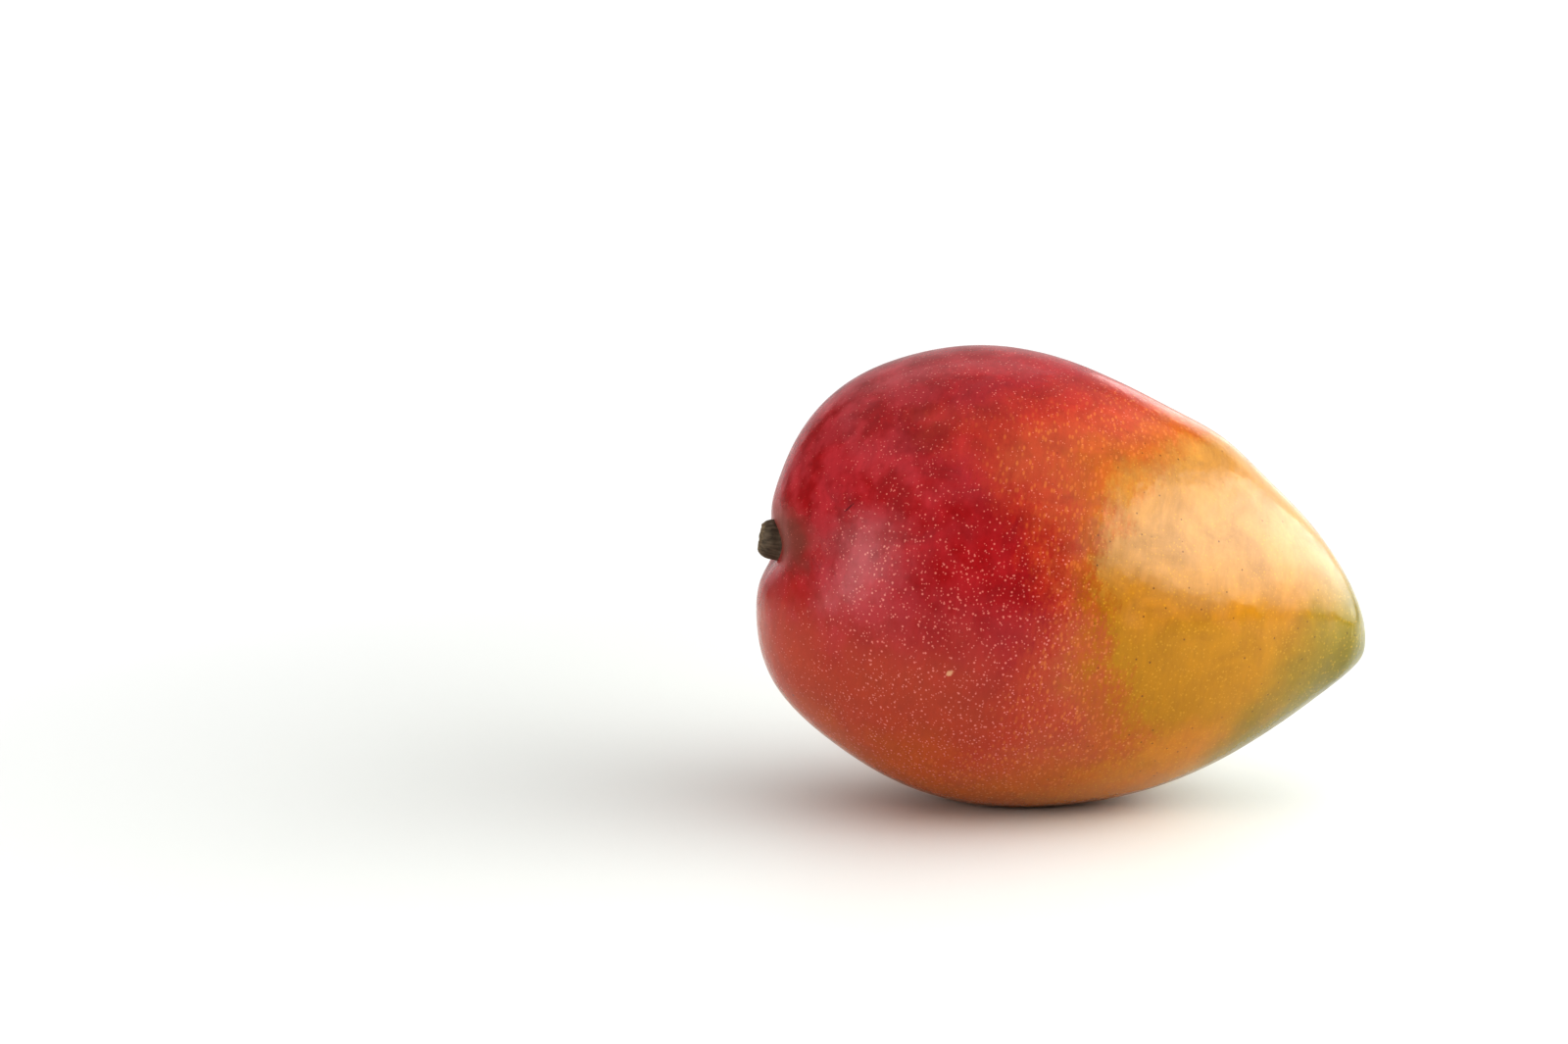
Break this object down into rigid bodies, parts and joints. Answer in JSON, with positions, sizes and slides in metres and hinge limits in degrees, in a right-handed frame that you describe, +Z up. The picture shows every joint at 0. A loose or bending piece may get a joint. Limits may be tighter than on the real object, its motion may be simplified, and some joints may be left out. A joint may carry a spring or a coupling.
{
  "type": "mango",
  "caption": "Whole ripe mango with a short stem stub, lying on its side on a small flat spot, red-blushed at the stem end and golden towards the pointed tip.",
  "frame": {"origin": "centre of the small flat spot on the belly that the fruit rests on", "axes": "+Z up from the surface it rests on, +X towards the pointed tip, +Y across its thickness to the far cheek"},
  "size_m": [0.1249, 0.0855, 0.0937],
  "materials": {
    "skin": "smooth waxy skin with a soft gloss, crimson to golden yellow, with pale dots",
    "stem_wood": "dry, dull olive-brown stem wood with a paler broken end"
  },
  "bodies": {
    "root": {"fruit": "skin", "stem": "stem_wood"}
  },
  "joints": []
}
